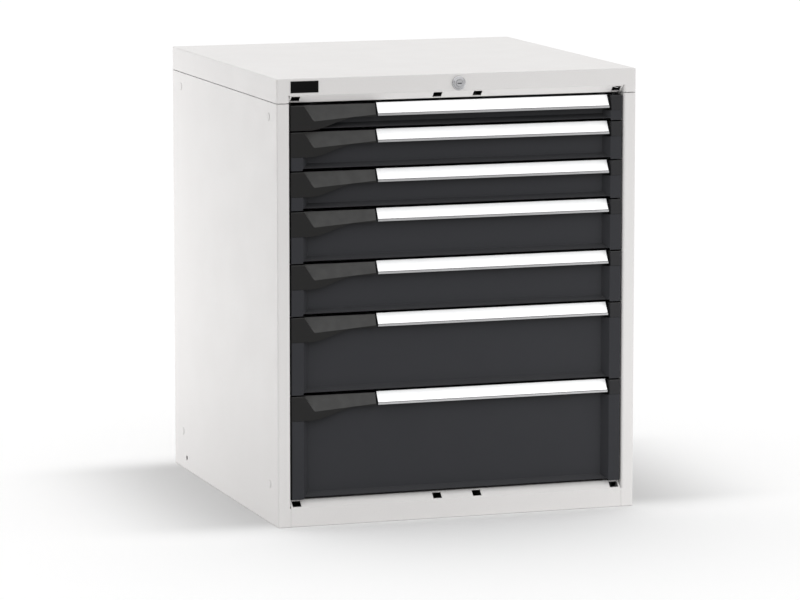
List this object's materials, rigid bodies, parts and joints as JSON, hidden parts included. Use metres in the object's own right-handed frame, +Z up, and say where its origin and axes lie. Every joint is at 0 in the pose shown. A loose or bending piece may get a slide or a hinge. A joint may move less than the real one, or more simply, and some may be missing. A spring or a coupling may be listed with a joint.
{
  "type": "drawer cabinet",
  "caption": "Stationary sheet-steel drawer cabinet with recessed dark fronts, full-width label pulls, telescopic runners and one central lock.",
  "frame": {"origin": "on the floor, at the centre of the housing's footprint", "axes": "+Z up, drawers open towards -Y, +X to the right of someone facing the drawers"},
  "size_m": [0.7186, 0.7313, 0.85],
  "materials": {
    "housing_paint": "light grey textured powder coat, semi-matt",
    "front_paint": "anthracite textured powder coat, semi-matt",
    "tray_paint": "light grey powder coat, semi-matt",
    "zinc_steel": "zinc-plated steel sheet",
    "handle_aluminium": "drawn profile, satin anodised",
    "grip_plastic": "moulded, finely grained, nearly black",
    "label_paper": "plain white paper strip",
    "lock_chrome": "polished chrome on brass",
    "badge_plastic": "blank black plate, semi-gloss"
  },
  "bodies": {
    "housing": {"left_side_panel": "housing_paint", "right_side_panel": "housing_paint", "top_cover": "housing_paint", "base_pan": "housing_paint", "back_panel": "housing_paint", "uprights": "zinc_steel", "fixed_runners": "zinc_steel", "side_rivets": "housing_paint", "back_rivets": "housing_paint", "lock_cylinder": "lock_chrome", "lock_nut": "zinc_steel", "rod_bracket": "zinc_steel", "lock_channel": "zinc_steel", "badge_plate": "badge_plastic"},
    "drawer_1": {"drawer_1_tray": "tray_paint", "drawer_1_front": "front_paint", "drawer_1_handle": "handle_aluminium", "drawer_1_label": "label_paper", "drawer_1_end_caps": "grip_plastic"},
    "runners_1": {"drawer_1_runners": "zinc_steel"},
    "drawer_2": {"drawer_2_tray": "tray_paint", "drawer_2_front": "front_paint", "drawer_2_handle": "handle_aluminium", "drawer_2_label": "label_paper", "drawer_2_end_caps": "grip_plastic"},
    "runners_2": {"drawer_2_runners": "zinc_steel"},
    "drawer_3": {"drawer_3_tray": "tray_paint", "drawer_3_front": "front_paint", "drawer_3_handle": "handle_aluminium", "drawer_3_label": "label_paper", "drawer_3_end_caps": "grip_plastic"},
    "runners_3": {"drawer_3_runners": "zinc_steel"},
    "drawer_4": {"drawer_4_tray": "tray_paint", "drawer_4_front": "front_paint", "drawer_4_handle": "handle_aluminium", "drawer_4_label": "label_paper", "drawer_4_end_caps": "grip_plastic"},
    "runners_4": {"drawer_4_runners": "zinc_steel"},
    "drawer_5": {"drawer_5_tray": "tray_paint", "drawer_5_front": "front_paint", "drawer_5_handle": "handle_aluminium", "drawer_5_label": "label_paper", "drawer_5_end_caps": "grip_plastic"},
    "runners_5": {"drawer_5_runners": "zinc_steel"},
    "drawer_6": {"drawer_6_tray": "tray_paint", "drawer_6_front": "front_paint", "drawer_6_handle": "handle_aluminium", "drawer_6_label": "label_paper", "drawer_6_end_caps": "grip_plastic"},
    "runners_6": {"drawer_6_runners": "zinc_steel"},
    "drawer_7": {"drawer_7_tray": "tray_paint", "drawer_7_front": "front_paint", "drawer_7_handle": "handle_aluminium", "drawer_7_label": "label_paper", "drawer_7_end_caps": "grip_plastic"},
    "runners_7": {"drawer_7_runners": "zinc_steel"},
    "lock": {"lock_plug": "lock_chrome", "lock_rod": "zinc_steel"},
    "locking_bar": {"locking_bar": "zinc_steel"}
  },
  "joints": [
    {"name": "drawer_1_slide", "type": "slide", "parent": "housing", "child": "drawer_1", "axis": [0, -1, 0], "range_m": [0, 0.6]},
    {"name": "runners_1_slide", "type": "slide", "parent": "housing", "child": "runners_1", "axis": [0, -1, 0], "range_m": [0, 0.3]},
    {"name": "drawer_2_slide", "type": "slide", "parent": "housing", "child": "drawer_2", "axis": [0, -1, 0], "range_m": [0, 0.6]},
    {"name": "runners_2_slide", "type": "slide", "parent": "housing", "child": "runners_2", "axis": [0, -1, 0], "range_m": [0, 0.3]},
    {"name": "drawer_3_slide", "type": "slide", "parent": "housing", "child": "drawer_3", "axis": [0, -1, 0], "range_m": [0, 0.6]},
    {"name": "runners_3_slide", "type": "slide", "parent": "housing", "child": "runners_3", "axis": [0, -1, 0], "range_m": [0, 0.3]},
    {"name": "drawer_4_slide", "type": "slide", "parent": "housing", "child": "drawer_4", "axis": [0, -1, 0], "range_m": [0, 0.6]},
    {"name": "runners_4_slide", "type": "slide", "parent": "housing", "child": "runners_4", "axis": [0, -1, 0], "range_m": [0, 0.3]},
    {"name": "drawer_5_slide", "type": "slide", "parent": "housing", "child": "drawer_5", "axis": [0, -1, 0], "range_m": [0, 0.6]},
    {"name": "runners_5_slide", "type": "slide", "parent": "housing", "child": "runners_5", "axis": [0, -1, 0], "range_m": [0, 0.3]},
    {"name": "drawer_6_slide", "type": "slide", "parent": "housing", "child": "drawer_6", "axis": [0, -1, 0], "range_m": [0, 0.6]},
    {"name": "runners_6_slide", "type": "slide", "parent": "housing", "child": "runners_6", "axis": [0, -1, 0], "range_m": [0, 0.3]},
    {"name": "drawer_7_slide", "type": "slide", "parent": "housing", "child": "drawer_7", "axis": [0, -1, 0], "range_m": [0, 0.6]},
    {"name": "runners_7_slide", "type": "slide", "parent": "housing", "child": "runners_7", "axis": [0, -1, 0], "range_m": [0, 0.3]},
    {"name": "bar_lift", "type": "slide", "parent": "housing", "child": "locking_bar", "axis": [0, 0, 1], "range_m": [0, 0.01273]},
    {"name": "lock_turn", "type": "hinge", "parent": "housing", "child": "lock", "pos_m": [0, -0.3625, 0.832], "axis": [0, 1, 0], "range_deg": [0, 90]}
  ],
  "couplings": [
    {"joint": "runners_1_slide", "follows": "drawer_1_slide", "ratio": 0.5},
    {"joint": "runners_2_slide", "follows": "drawer_2_slide", "ratio": 0.5},
    {"joint": "runners_3_slide", "follows": "drawer_3_slide", "ratio": 0.5},
    {"joint": "runners_4_slide", "follows": "drawer_4_slide", "ratio": 0.5},
    {"joint": "runners_5_slide", "follows": "drawer_5_slide", "ratio": 0.5},
    {"joint": "runners_6_slide", "follows": "drawer_6_slide", "ratio": 0.5},
    {"joint": "runners_7_slide", "follows": "drawer_7_slide", "ratio": 0.5},
    {"joint": "lock_turn", "follows": "bar_lift", "rad_per_m": 123.41}
  ]
}
